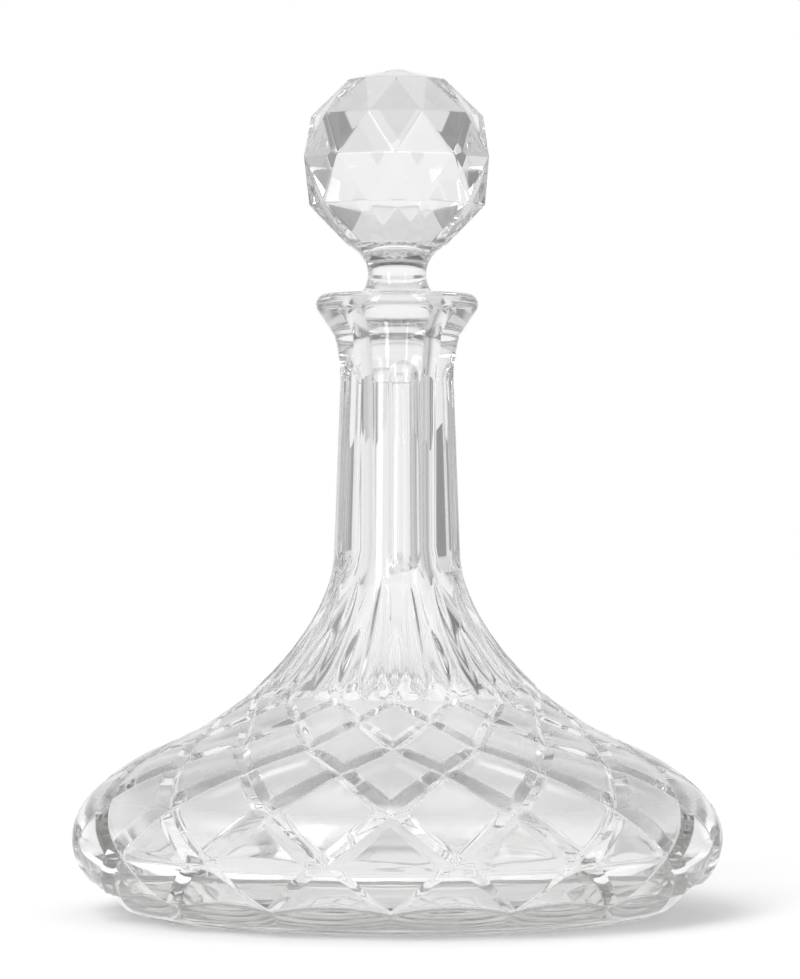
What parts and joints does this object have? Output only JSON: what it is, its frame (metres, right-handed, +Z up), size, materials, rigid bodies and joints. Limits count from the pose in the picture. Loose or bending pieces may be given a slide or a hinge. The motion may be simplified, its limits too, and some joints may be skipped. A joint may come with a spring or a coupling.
{
  "type": "whiskey decanter",
  "caption": "Clear glass ship's decanter with a wide low diamond-cut body, fluted neck, rolled lip and a lift-out stopper with a faceted ball.",
  "frame": {"origin": "centre of the foot's standing ring, on the surface that the decanter stands on", "axes": "+Z up along the axis of the body, neck and stopper; -Y through a column of the diamond lattice, the front in the picture; +X to the right of it"},
  "size_m": [0.201, 0.201, 0.2603],
  "materials": {
    "vessel_glass": "clear polished pressed glass",
    "stopper_glass": "clear polished glass with cut facets"
  },
  "bodies": {
    "vessel": {"vessel": "vessel_glass"},
    "stopper": {"stopper": "stopper_glass"}
  },
  "joints": [
    {"name": "stopper_lift", "type": "slide", "parent": "vessel", "child": "stopper", "axis": [0, 0, 1], "range_m": [0, 0.08]}
  ]
}
